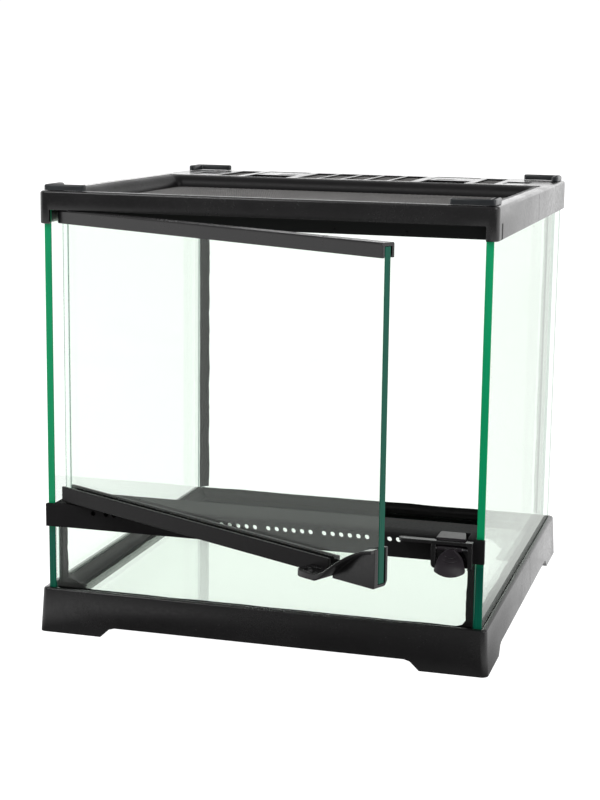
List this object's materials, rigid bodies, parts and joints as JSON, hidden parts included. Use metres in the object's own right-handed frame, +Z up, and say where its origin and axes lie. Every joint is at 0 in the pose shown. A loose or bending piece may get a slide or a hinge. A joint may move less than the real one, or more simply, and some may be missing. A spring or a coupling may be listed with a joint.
{
  "type": "glass terrarium",
  "caption": "Small front-opening glass terrarium: one side-hinged glass door over a vented rail, push latch, mesh lid and sliding cable ports.",
  "frame": {"origin": "bottom centre of the glass box's footprint on the floor, with the door closed side at -Y; the opened door is not counted", "axes": "+Z up, +X to the viewer's right facing the door, -Y towards the viewer through the door"},
  "size_m": [0.3112, 0.4372, 0.3047],
  "materials": {
    "black_plastic": "fine satin moulded",
    "pad_plastic": "matte",
    "clear_glass": "clear float glass with ground edges",
    "black_silicone": "smooth",
    "steel": "bright",
    "dark_mesh": "black coated woven wire"
  },
  "bodies": {
    "tank": {"base_frame": "black_plastic", "bottom_glass": "clear_glass", "left_glass": "clear_glass", "right_glass": "clear_glass", "back_glass": "clear_glass", "front_lower_glass": "clear_glass", "seam_rear_left": "black_silicone", "seam_rear_right": "black_silicone", "seam_front_left": "black_silicone", "seam_front_right": "black_silicone", "seam_bottom": "black_silicone", "front_rail": "black_plastic", "latch_housing": "black_plastic", "latch_pin": "steel", "latch_spring": "steel", "top_frame": "black_plastic", "corner_pad_front_left": "pad_plastic", "corner_pad_front_right": "pad_plastic", "corner_pad_rear_left": "pad_plastic", "corner_pad_rear_right": "pad_plastic", "vent_mesh_centre": "dark_mesh", "vent_mesh_left": "dark_mesh", "vent_mesh_right": "dark_mesh"},
    "door": {"door_glass": "clear_glass", "door_top_channel": "black_plastic", "door_bottom_channel": "black_plastic", "door_handle": "black_plastic", "hinge_pin_upper": "steel", "hinge_pin_lower": "steel"},
    "latch": {"latch_lever": "black_plastic"},
    "lid": {"lid_frame": "black_plastic", "lid_mesh": "dark_mesh"},
    "port_left": {"port_cover_left": "black_plastic"},
    "port_right": {"port_cover_right": "black_plastic"}
  },
  "joints": [
    {"name": "door_hinge", "type": "hinge", "parent": "tank", "child": "door", "pos_m": [-0.1342, -0.147, 0.19], "axis": [0, 0, 1], "range_deg": [-88, 27.1]},
    {"name": "latch_pivot", "type": "hinge", "parent": "tank", "child": "latch", "pos_m": [0.12955, -0.1572, 0.0842], "axis": [-1, 0, 0], "range_deg": [0, 8], "stiffness_Nm_per_rad": 0.05, "springref_deg": -5.73},
    {"name": "lid_lift", "type": "slide", "parent": "tank", "child": "lid", "axis": [0, 0, 1], "range_m": [0, 0.06]},
    {"name": "port_left_slide", "type": "slide", "parent": "tank", "child": "port_left", "axis": [0, -1, 0], "range_m": [0, 0.034]},
    {"name": "port_right_slide", "type": "slide", "parent": "tank", "child": "port_right", "axis": [0, -1, 0], "range_m": [0, 0.034]}
  ]
}
